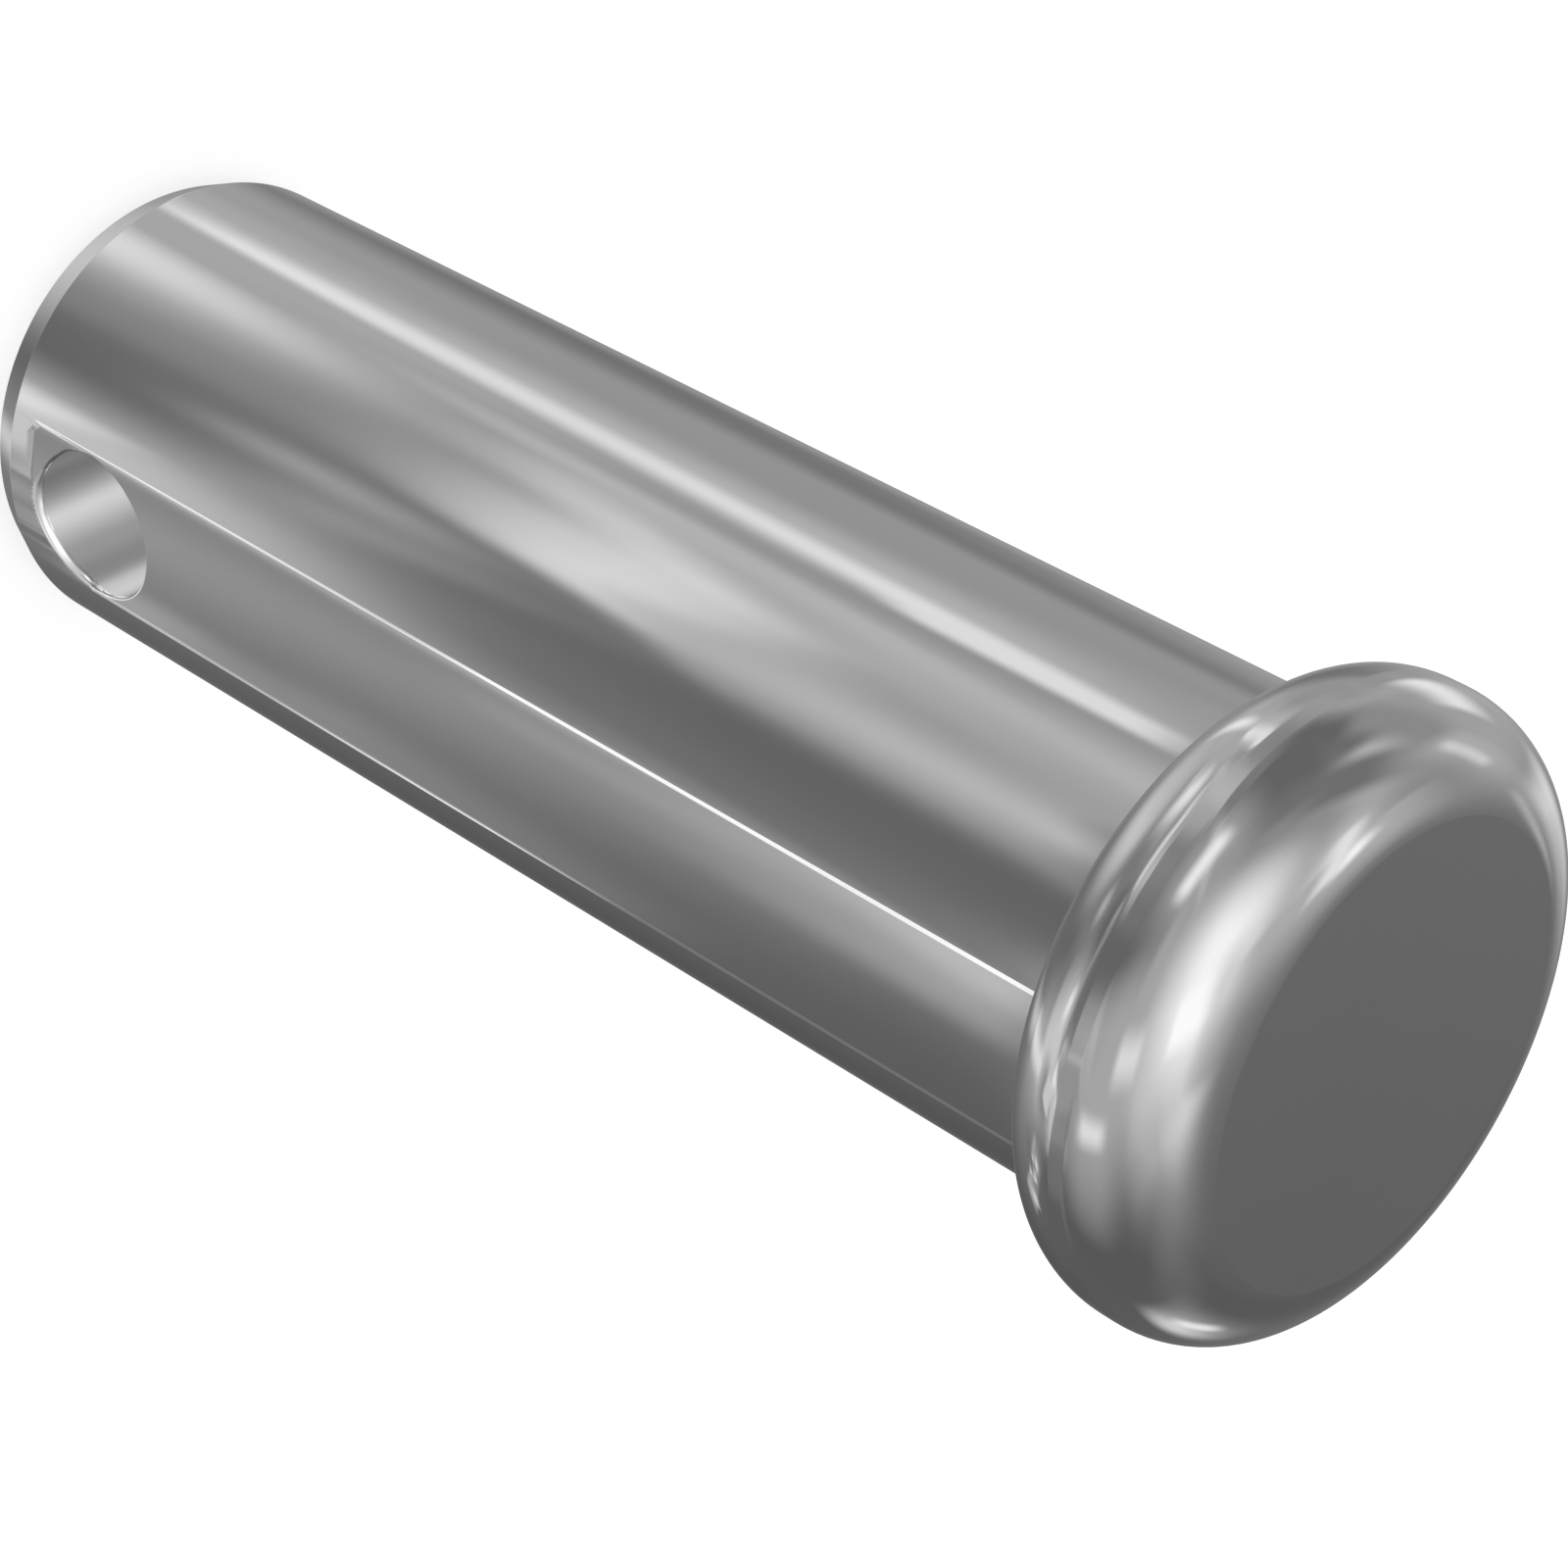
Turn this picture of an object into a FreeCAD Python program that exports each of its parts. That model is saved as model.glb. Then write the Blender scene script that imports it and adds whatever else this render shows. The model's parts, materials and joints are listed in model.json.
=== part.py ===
import FreeCAD, Part
import os
from math import sqrt

# A headed clevis pin in one piece: a turned blank with a full-round head, a shallow
# flat milled along one side, and a cross hole drilled square to the flat.
# It stands on its tip with its head up. The origin is the centre of the tip's end
# face, +Z runs along the axis towards the head, and -Y points out of the flat.

# Driving sizes, in millimetres
shank_diameter = 12.5
shank_length = 36.6
head_overhang = 1.625
head_height = 4.85
head_land = 0.33
seat_width = 0.175
tip_chamfer_length = 1.0
tip_chamfer_depth = 0.4
hole_diameter = 4.0
hole_height = 4.1
mouth_break = 0.1
flat_depth = 0.375
flat_end_margin = 0.15
cutter_overlap = 0.27
tool_clearance = 2.0

# Sizes that follow from them
shank_radius = shank_diameter / 2
head_radius = shank_radius + head_overhang
head_top = shank_length + head_height
hole_radius = hole_diameter / 2
flat_distance = shank_radius - flat_depth
flat_half_width = sqrt(shank_radius ** 2 - flat_distance ** 2)
cutter_radius = flat_half_width + cutter_overlap
flat_end_height = hole_height - hole_radius - flat_end_margin
cutter_height = flat_end_height + cutter_radius

# One radius rounds the head above and below its land. The upper arc is a quarter
# round; the lower one is cut short by the flat seat, at the seat's outer edge.
seat_radius = shank_radius + seat_width
rounded_height = head_height - head_land
rounded_width = head_radius - seat_radius
rounding = rounded_height + rounded_width - sqrt(2 * rounded_height * rounded_width)

# The hole's wall is recognised by its distance from the hole's axis, within this
edge_tolerance = 0.001


def point(x, y, z):
    return FreeCAD.Vector(x, y, z)


def profile_point(radius, height):
    """A point of the turned outline, drawn on the flat's side, so that its seam is milled away."""
    return point(0, -radius, height)


def corner_arc(start, centre, end):
    """The shorter arc from start to end about its centre."""
    radius = (start - centre).Length
    outwards = ((start - centre) + (end - centre)).normalize()
    return Part.Arc(start, centre + outwards * radius, end)


def head_outline():
    """The head's side, from its flat seat round the rim to its flat top."""
    arc_centre_radius = head_radius - rounding
    crown_height = head_top - rounding
    land_height = crown_height - head_land
    seat_edge = profile_point(seat_radius, shank_length)
    land_start = profile_point(head_radius, land_height)
    land_end = profile_point(head_radius, crown_height)
    crown_end = profile_point(arc_centre_radius, head_top)
    return [
        Part.LineSegment(profile_point(shank_radius, shank_length), seat_edge),
        corner_arc(seat_edge, profile_point(arc_centre_radius, land_height), land_start),
        Part.LineSegment(land_start, land_end),
        corner_arc(land_end, profile_point(arc_centre_radius, crown_height), crown_end),
        Part.LineSegment(crown_end, profile_point(0, head_top)),
    ]


def shank_outline():
    """The tip's end face, its lead chamfer and the bearing length of the shank."""
    tip_centre = profile_point(0, 0)
    tip_edge = profile_point(shank_radius - tip_chamfer_depth, 0)
    chamfer_end = profile_point(shank_radius, tip_chamfer_length)
    return [
        Part.LineSegment(tip_centre, tip_edge),
        Part.LineSegment(tip_edge, chamfer_end),
        Part.LineSegment(chamfer_end, profile_point(shank_radius, shank_length)),
    ]


def turned_blank():
    """The pin as it leaves the lathe: one closed outline turned about Z."""
    axis_line = Part.LineSegment(profile_point(0, head_top), profile_point(0, 0))
    outline = shank_outline() + head_outline() + [axis_line]
    wire = Part.Wire([curve.toShape() for curve in outline])
    return Part.Face(wire).revolve(point(0, 0, 0), point(0, 0, 1), 360)


def flat_cutter():
    """The path of an end mill that sinks beside the tip and runs up to the head."""
    reach = flat_depth + tool_clearance
    floor_y = -flat_distance - reach
    round_end = Part.makeCylinder(
        cutter_radius, reach, point(0, floor_y, cutter_height), point(0, 1, 0)
    )
    run = Part.makeBox(
        2 * cutter_radius,
        reach,
        shank_length - cutter_height,
        point(-cutter_radius, floor_y, cutter_height),
    )
    return round_end.fuse(run)


def cross_drill():
    """The drill that passes through both sides of the shank."""
    reach = shank_radius + tool_clearance
    return Part.makeCylinder(
        hole_radius, 2 * reach, point(0, -reach, hole_height), point(0, 1, 0)
    )


def countersink():
    """The cone that breaks the hole's edge on the flat."""
    return Part.makeCone(
        hole_radius + mouth_break,
        hole_radius,
        mouth_break,
        point(0, -flat_distance, hole_height),
        point(0, 1, 0),
    )


def far_mouth_edges(pin):
    """The hole's edges on the round side, where the drill leaves the shank."""
    found = []
    for edge in pin.Edges:
        samples = edge.discretize(9)
        on_wall = all(
            abs(sqrt(p.x ** 2 + (p.z - hole_height) ** 2) - hole_radius) < edge_tolerance
            for p in samples
        )
        on_shank = all(
            abs(sqrt(p.x ** 2 + p.y ** 2) - shank_radius) < edge_tolerance
            for p in samples
        )
        if on_wall and on_shank and min(p.y for p in samples) > 0:
            found.append(edge)
    return found


def clevis_pin():
    milled = turned_blank().cut(flat_cutter())
    drilled = milled.cut(cross_drill()).cut(countersink())
    broken = drilled.makeFillet(mouth_break, far_mouth_edges(drilled))
    return broken.removeSplitter()


os.makedirs("parts", exist_ok=True)
clevis_pin().exportStep("parts/clevis_pin.step")
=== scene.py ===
import json
from math import asin, cos, pi, radians, sin, sqrt, tan

import bpy
import numpy as np
from mathutils import Matrix, Vector


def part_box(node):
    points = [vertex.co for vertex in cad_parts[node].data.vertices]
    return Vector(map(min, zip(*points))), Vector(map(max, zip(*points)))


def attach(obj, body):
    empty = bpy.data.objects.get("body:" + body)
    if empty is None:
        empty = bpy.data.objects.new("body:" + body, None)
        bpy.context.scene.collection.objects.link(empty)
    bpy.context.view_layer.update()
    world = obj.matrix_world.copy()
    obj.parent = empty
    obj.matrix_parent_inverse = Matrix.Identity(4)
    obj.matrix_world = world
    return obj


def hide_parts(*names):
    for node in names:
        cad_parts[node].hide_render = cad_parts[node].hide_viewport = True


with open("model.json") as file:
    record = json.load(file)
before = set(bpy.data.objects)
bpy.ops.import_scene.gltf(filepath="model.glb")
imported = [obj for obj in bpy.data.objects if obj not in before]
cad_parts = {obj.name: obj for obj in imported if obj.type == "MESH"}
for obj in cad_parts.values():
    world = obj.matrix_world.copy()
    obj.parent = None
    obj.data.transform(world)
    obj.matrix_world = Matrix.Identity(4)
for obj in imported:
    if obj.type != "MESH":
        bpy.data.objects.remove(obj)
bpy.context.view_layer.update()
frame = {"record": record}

bl_info = {
    "name": "Clevis Pin",
    "version": (1, 0, 0),
    "blender": (4, 5, 0),
    "location": "3D View > Sidebar > Clevis Pin",
    "description": "Builds a polished steel clevis pin with a milled flat and a cross hole",
    "category": "Add Mesh",
}

MM = 0.001
TINY = 1e-9
WELD = 1e-7
mounts = {mount["name"]: mount for mount in frame["record"]["mounts"]}
pin_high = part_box("clevis_pin")[1]


# Sizes and colours

def length(name, description, default):
    return bpy.props.FloatProperty(
        name=name, description=description, default=default, min=0.0, precision=5,
        subtype="DISTANCE", unit="LENGTH",
    )


def slope(name, description, degrees):
    return bpy.props.FloatProperty(
        name=name, description=description, default=radians(degrees), subtype="ANGLE",
        unit="ROTATION",
    )


def share(name, description, default, highest=1.0):
    return bpy.props.FloatProperty(
        name=name, description=description, default=default, min=0.0, max=highest,
        subtype="FACTOR",
    )


def colour(name, description, default):
    return bpy.props.FloatVectorProperty(
        name=name, description=description, default=default, min=0.0, max=1.0, size=3,
        subtype="COLOR",
    )


def point(name, description, default):
    return bpy.props.FloatVectorProperty(
        name=name, description=description, default=default, size=3, subtype="TRANSLATION",
        unit="LENGTH",
    )


class PinSizes(bpy.types.PropertyGroup):
    """The pin's sizes"""

    shank_radius: length(
        "Shank Radius", "Half the shank's diameter", mounts["shank"]["dims"]["r_mm"] * MM)
    seat_height: length(
        "Seat Height", "From the tip to the underside of the head", mounts["head_seat"]["pos_m"][2])
    head_radius: length("Head Radius", "Half the head's diameter", min(pin_high[0], pin_high[1]))
    head_top: length("Head Top", "From the tip to the top of the head", pin_high[2])
    head_land: length("Head Land", "Height of the straight band round the head's rim", 0.33 * MM)
    seat_width: length("Seat Width", "Width of the flat ring under the head", 0.175 * MM)
    chamfer_length: length("Chamfer Length", "Tip chamfer, along the shank", 1.0 * MM)
    chamfer_depth: length("Chamfer Depth", "Tip chamfer, across the shank", 0.4 * MM)
    corner_softness: length(
        "Corner Softness", "Radius that polishing leaves at the chamfer", 0.12 * MM)
    flat_distance: length(
        "Flat Distance", "From the axis to the flat", -mounts["side_flat"]["pos_m"][1])
    flat_start: length(
        "Flat Start", "From the tip to where the flat begins, beside the hole", 3.6 * MM)
    flat_crown: slope("Flat Crown", "How far polishing tips the flat's surface at its edges", 5.0)
    edge_width: length("Edge Width", "Width of the broken edges along the flat", 0.12 * MM)
    facet_corner: length(
        "Facet Corner", "From the tip to the end of the flat's longer edge", 1.93 * MM)
    facet_tilt: slope("Facet Tilt", "Slope of the flat's last facet across the pin", 12.4)
    facet_rise: slope("Facet Rise", "Slope of the flat's last facet along the pin", 6.2)
    hole_radius: length(
        "Hole Radius", "Half the cross hole's diameter", mounts["cotter_hole"]["dims"]["r_mm"] * MM)
    hole_height: length(
        "Hole Height", "From the tip to the cross hole's axis", mounts["cotter_hole"]["pos_m"][2])
    mouth_break: length("Mouth Break", "Radius that breaks the edges of the cross hole", 0.1 * MM)
    rim_rounding: length(
        "Rim Rounding", "Radius that rounds the hole's mouth on the tip's side", 0.24 * MM)
    segments: bpy.props.IntProperty(
        name="Segments", description="Facets round the pin", default=256, min=32, max=720)


class SteelFinish(bpy.types.PropertyGroup):
    """The steel's colour and polish"""

    tone: colour("Tone", "Colour of the bare steel", (0.62, 0.62, 0.62))
    tone_change: share("Tone Change", "How much the tone wanders", 0.02, highest=0.2)
    # Painted light: lightens the drilled wall's base colour, standing in for light inside the bore
    drilled_tone: share("Drilled Tone", "How much lighter the drilled wall is", 0.35, highest=0.6)
    # Painted highlight: lightens the broken edges' base colour, standing in for highlights along
    # them
    edge_tone: share("Edge Tone", "How much lighter the broken edges are", 0.55, highest=0.6)
    roughness: share("Roughness", "Blur of the polished surface", 0.06)
    drilled_roughness: share(
        "Drilled Roughness", "Blur that the drilled wall has on top", 0.3, highest=0.9)
    mark_depth: share("Mark Depth", "Strength of the fine polishing marks", 0.03)


class StudioSettings(bpy.types.PropertyGroup):
    """The floor, the lights and the camera"""

    floor_colour: colour("Floor Colour", "Colour of the floor", (0.8, 0.8, 0.8))
    floor_radius: length("Floor Radius", "Radius of the round floor", 0.8)
    lamp_power: bpy.props.FloatProperty(
        name="Lamp Power", description="Power of the overhead lamp", default=0.35, min=0.0,
        unit="POWER")
    lamp_width: length("Lamp Width", "Width of the overhead lamp", 0.5)
    lamp_place: point("Lamp Place", "Where the overhead lamp hangs", (0.05, 0.1, 0.5))
    room_light: bpy.props.FloatProperty(
        name="Room Light", description="Strength of the light from all round", default=0.5, min=0.0)
    tent_radius: length("Tent Radius", "Radius of the reflected tent", 6.0)
    camera_place: point(
        "Camera Place", "Where the camera stands", (-0.0560845, -0.0610477, 0.0838475))
    camera_aim: point(
        "Camera Aim", "The point in the middle of the picture", (0.0008758, -0.0008284, 0.0240021))
    camera_roll: slope("Camera Roll", "Turn of the camera about its own axis", -119.265)
    camera_lens: bpy.props.FloatProperty(
        name="Lens", description="Focal length", subtype="DISTANCE_CAMERA", unit="CAMERA",
        default=98.885)


# Drawing node trees

class Term:
    """A value in a node tree, which adds and multiplies by making nodes."""

    def __init__(self, draft, socket):
        self.draft, self.socket = draft, socket

    def __add__(self, other):
        return self.draft.math("ADD", self, other)

    def __radd__(self, other):
        return self.draft.math("ADD", other, self)

    def __sub__(self, other):
        return self.draft.math("SUBTRACT", self, other)

    def __rsub__(self, other):
        return self.draft.math("SUBTRACT", other, self)

    def __mul__(self, other):
        return self.draft.math("MULTIPLY", self, other)

    def __rmul__(self, other):
        return self.draft.math("MULTIPLY", other, self)

    def __truediv__(self, other):
        return self.draft.math("DIVIDE", self, other)


class Draft:
    """A node tree while it is being drawn up."""

    def __init__(self, tree):
        self.tree = tree

    def add(self, kind, inputs=None, output=0, **settings):
        node = self.tree.nodes.new(kind)
        for name, value in settings.items():
            setattr(node, name, value)
        for slot, value in (inputs or {}).items():
            self.join(value, node.inputs[slot])
        return Term(self, node.outputs[output])

    def join(self, value, slot):
        if isinstance(value, Term):
            self.tree.links.new(value.socket, slot)
        elif isinstance(value, (list, tuple)) and slot.is_multi_input:
            for item in value:
                self.tree.links.new(item.socket, slot)
        else:
            slot.default_value = value

    def math(self, operation, *values):
        return self.add("ShaderNodeMath", dict(enumerate(values)), operation=operation)

    def whole(self, operation, *values):
        return self.add("FunctionNodeIntegerMath", dict(enumerate(values)), operation=operation)

    def show(self, result, output="ShaderNodeOutputMaterial"):
        self.join(result, self.tree.nodes.new(output).inputs[0])

    def vector(self, x, y, z):
        return self.add("ShaderNodeCombineXYZ", {0: x, 1: y, 2: z})

    def pick(self, index, values, kind="FLOAT"):
        """The value that stands at the index."""
        node = self.tree.nodes.new("GeometryNodeIndexSwitch")
        node.data_type = kind
        while len(node.index_switch_items) < len(values):
            node.index_switch_items.new()
        self.join(index, node.inputs[0])
        for slot, value in zip(node.inputs[1:], values):
            self.join(value, slot)
        return Term(self, node.outputs[0])


class ShapeDraft(Draft):
    """A geometry node tree with named inputs and one mesh as its result."""

    def __init__(self, name, inputs):
        super().__init__(bpy.data.node_groups.new(name, "GeometryNodeTree"))
        self.tree.is_modifier = True
        self.identifiers = {}
        for label, kind in inputs:
            socket = self.tree.interface.new_socket(label, in_out="INPUT", socket_type=kind)
            self.identifiers[label] = socket.identifier
        self.tree.interface.new_socket("Mesh", in_out="OUTPUT", socket_type="NodeSocketGeometry")
        self.start = self.tree.nodes.new("NodeGroupInput")

    def given(self, label):
        return Term(self, self.start.outputs[label])

    def closed_grid(self, columns, rows, place):
        """A grid bent into a closed skin: its seam and its two end rows are welded."""
        grid = self.add("GeometryNodeMeshGrid", {
            "Size X": 1.0, "Size Y": 1.0, "Vertices X": columns, "Vertices Y": rows})
        index = self.add("GeometryNodeInputIndex")
        column = self.whole("DIVIDE_FLOOR", index, rows)
        row = self.whole("MODULO", index, rows)
        skin = self.add("GeometryNodeSetPosition", {
            "Geometry": grid, "Position": place(column, row)})
        return self.add("GeometryNodeMergeByDistance", {"Geometry": skin, "Distance": WELD})

    def cut(self, body, tool):
        return self.add("GeometryNodeMeshBoolean", {"Mesh 1": body, "Mesh 2": [tool]},
                        operation="DIFFERENCE", solver="EXACT")

    def finish(self, mesh):
        mesh = self.add("GeometryNodeRealizeInstances", {"Geometry": mesh})
        mesh = self.add("GeometryNodeSetMaterial", {
            "Geometry": mesh, "Material": self.given("Material")})
        self.show(mesh, "NodeGroupOutput")


# The pin's shape

# How finely the roundings and the drill are drawn
ARC_STEPS = 24
SMALL_STEPS = 5
DRILL_STEPS = 192
ROUND_ANGLES = (15, 30, 45, 60, 75)

# How far the tools reach past the steel, and the drill's flare past its rings
AIR = 1.0 * MM
DRILL_AIR = 0.3 * MM
FLARE_AIR = 0.02 * MM

# The mill's broken edges reach this far past the flat
EDGE_REACH = 0.3 * MM
# Length of the line where the last facet meets the flat, across the pin
FACET_STEP = 1.0 * MM
# The last facet's tool: its lowest and highest ends, its side beside the hole, how far
# it reaches past the flat's edge, and a point inside its outline
FACET_LOW = 0.9 * MM
FACET_HIGH = 3.2 * MM
FACET_SIDE = 0.3 * MM
FACET_REACH = 0.47 * MM
FACET_MIDDLE = (-0.6 * MM, 2.0 * MM)

# Where the hole's rounded rim fades in: shares of its radius, across and towards the tip
RIM_RAMP_ACROSS = (-0.5, -0.1)
RIM_RAMP_ALONG = (0.05, 0.4)

PIN_INPUTS = [
    (name, "NodeSocketFloat") for name in (
        "Shank Radius", "Seat Height", "Head Radius", "Head Top", "Head Rounding", "Seat Width",
        "Head Land", "Chamfer Length", "Chamfer Depth", "Corner Softness", "Flat Distance",
        "Flat Half", "Flat Edge", "Edge Slope", "Flat Start", "Facet Corner", "Facet Tilt",
        "Facet Rise", "Hole Radius", "Hole Height", "Mouth Break", "Rim Rounding",
    )
] + [("Segments", "NodeSocketInt"), ("Material", "NodeSocketMaterial")]

# The sizes that are not lengths
PLAIN_SIZES = ("segments", "edge_slope", "flat_crown", "facet_tilt", "facet_rise")


class PinShape:
    """The pin's sizes in millimetres, with those that follow from them."""

    def __init__(self, sizes):
        for name in PinSizes.__annotations__:
            value = getattr(sizes, name)
            setattr(self, name, value if name in PLAIN_SIZES else value / MM)
        self.seat_radius = self.shank_radius + self.seat_width
        tall = self.head_top - self.seat_height - self.head_land
        wide = self.head_radius - self.seat_radius
        self.head_rounding = tall + wide - sqrt(2 * tall * wide)
        self.arc_radius = self.head_radius - self.head_rounding
        self.crown_height = self.head_top - self.head_rounding
        self.land_height = self.crown_height - self.head_land
        self.flat_half = sqrt(self.shank_radius ** 2 - self.flat_distance ** 2)
        self.edge_slope = asin(self.flat_half / self.shank_radius) / 2
        self.flat_edge = self.flat_half - self.edge_width / 2 / cos(self.edge_slope)

    def inputs(self):
        """The values of the tree's named inputs, in metres and radians."""
        values = {}
        for label, kind in PIN_INPUTS:
            name = label.lower().replace(" ", "_")
            if kind != "NodeSocketMaterial":
                values[label] = getattr(self, name) * (1 if name in PLAIN_SIZES else MM)
        return values


def turned_blank(draft):
    """The lathe's outline with its roundings, turned about the pin's axis."""
    given = draft.given
    shank, seat, top = given("Shank Radius"), given("Seat Height"), given("Head Top")
    head, rounding = given("Head Radius"), given("Head Rounding")
    land_height = top - rounding - given("Head Land")
    # The underside's arc starts at the seat's edge, so its corner lies where the
    # tangent at that edge meets the head's side.
    rise = land_height - seat
    run = head - rounding - shank - given("Seat Width")
    start_angle = draft.math("ARCTAN2", run, rise)
    sweep = pi / 2 + start_angle
    corner_drop = rounding * draft.math("TANGENT", sweep * 0.5)
    softness = given("Corner Softness")
    corners = [
        (0.0, 0.0, 0.0, 1),
        (shank - given("Chamfer Depth"), 0.0, softness, SMALL_STEPS),
        (shank, given("Chamfer Length"), softness, SMALL_STEPS),
        (shank, seat, 0.0, 1),
        (shank + given("Seat Width"), seat, 0.0, 1),
        (head, land_height - corner_drop, rounding, ARC_STEPS),
        (head, top, rounding, ARC_STEPS),
        (0.0, top, 0.0, 1),
    ]
    index = draft.add("GeometryNodeInputIndex")
    line = draft.add("GeometryNodeMeshLine", {"Count": len(corners)})
    across, up, bend, steps = zip(*corners)
    line = draft.add("GeometryNodeSetPosition", {
        "Geometry": line,
        "Position": draft.vector(draft.pick(index, across), 0.0, draft.pick(index, up))})
    outline = draft.add("GeometryNodeMeshToCurve", {"Mesh": line})
    fillet = draft.tree.nodes.new("GeometryNodeFilletCurve")
    fillet.mode = "POLY"
    draft.join(outline, fillet.inputs["Curve"])
    draft.join(draft.pick(index, bend), fillet.inputs["Radius"])
    draft.join(draft.pick(index, steps, "INT"), fillet.inputs["Count"])
    outline = Term(draft, fillet.outputs[0])
    rows = draft.add("GeometryNodeAttributeDomainSize", {"Geometry": outline}, component="CURVE")
    spot = draft.add("GeometryNodeInputPosition")

    def place(column, row):
        angle = column * (2 * pi) / given("Segments")
        sample = draft.add("GeometryNodeSampleIndex", {
            "Geometry": outline, "Value": spot, "Index": row},
            data_type="FLOAT_VECTOR", domain="POINT")
        parts = draft.add("ShaderNodeSeparateXYZ", {0: sample})
        radius, height = parts, Term(draft, parts.socket.node.outputs[2])
        return draft.vector(
            radius * draft.math("SINE", angle), -1 * radius * draft.math("COSINE", angle), height)

    return draft.closed_grid(draft.whole("ADD", given("Segments"), 1), rows, place)


def flat_tool(draft):
    """The straight run of the milled flat, with both its long edges broken."""
    given = draft.given
    floor, edge, half = given("Flat Distance"), given("Flat Edge"), given("Flat Half")
    outer = edge + EDGE_REACH
    shoulder = floor - EDGE_REACH * draft.math("TANGENT", given("Edge Slope"))
    far = given("Shank Radius") + AIR
    across = [-1 * outer, outer, outer, edge, -1 * half + FACET_STEP, -1 * edge, -1 * outer,
              -1 * outer]
    out = [far, far, shoulder, floor, floor, floor, shoulder, far]
    # The end follows the line where the last facet meets the flat, up to the hole
    start, corner, climb = given("Flat Start"), given("Facet Corner"), facet_climb(draft)
    edge_end = corner - (outer - half) * climb
    starts = [edge_end, start, start, start, corner + climb * FACET_STEP,
              corner + (half - edge) * climb, edge_end, edge_end]

    def place(column, row):
        on_wall = draft.pick(row, [0.0, 1.0, 1.0, 0.0])
        upper = draft.pick(row, [0.0, 0.0, 1.0, 1.0])
        x = draft.pick(column, across) * on_wall
        middle = floor + AIR / 2
        y = middle + (draft.pick(column, out) - middle) * on_wall
        low = start + (draft.pick(column, starts) - start) * on_wall
        return draft.vector(x, -1 * y, low + (given("Seat Height") - low) * upper)

    return draft.closed_grid(len(across), 4, place)


def facet_climb(draft):
    """How steeply the line where the facet meets the flat runs up the pin."""
    tilt = draft.math("TANGENT", draft.given("Facet Tilt"))
    return tilt / draft.math("TANGENT", draft.given("Facet Rise"))


def facet_depth(draft, x, z):
    """How far the last facet lies from the axis, along Y, at a place on it."""
    given = draft.given
    tilt = draft.math("TANGENT", given("Facet Tilt"))
    rise = draft.math("TANGENT", given("Facet Rise"))
    return (given("Flat Distance") + (x + given("Flat Half")) * tilt
            - (z - given("Facet Corner")) * rise)


def round_tool(draft, height, stations):
    """A tool turned about an axis along Y, from its rings' radii and depths."""
    def place(column, row):
        angle = column * (2 * pi / DRILL_STEPS)
        sine, cosine = draft.math("SINE", angle), draft.math("COSINE", angle)
        radius = draft.pick(row, [station[0](sine, cosine) for station in stations])
        x = radius * sine
        z = height + radius * cosine
        y = draft.pick(row, [station[1](x, z, cosine) for station in stations])
        return draft.vector(x, y, z)

    return draft.closed_grid(DRILL_STEPS + 1, len(stations), place)


def surface_depth(draft, x):
    """How far the shank's surface lies from the axis, along Y, at a place across it."""
    shank = draft.given("Shank Radius")
    return draft.math("SQRT", draft.math("MAXIMUM", shank * shank - x * x, 0.0))


def facet_tool(draft):
    """The flat's last facet, which passes the hole on the -X side and fades out near the tip."""
    given = draft.given
    half, corner = given("Flat Half"), given("Facet Corner")
    outer = -1 * half - FACET_REACH
    across = [outer, -1 * half, -1 * half + FACET_STEP, FACET_SIDE, FACET_SIDE, outer]
    up = [FACET_LOW, corner, corner + facet_climb(draft) * FACET_STEP, FACET_HIGH, FACET_LOW,
          FACET_LOW]
    middle_x, middle_z = FACET_MIDDLE
    far = given("Shank Radius") + AIR

    def place(column, row):
        on_wall = draft.pick(row, [0.0, 1.0, 1.0, 0.0])
        on_facet = draft.pick(row, [0.0, 0.0, 1.0, 1.0])
        x = middle_x + (draft.pick(column, across) - middle_x) * on_wall
        z = middle_z + (draft.pick(column, up) - middle_z) * on_wall
        depth = far + (facet_depth(draft, x, z) - far) * on_facet
        return draft.vector(x, -1 * depth, z)

    return draft.closed_grid(len(across), 4, place)


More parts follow.
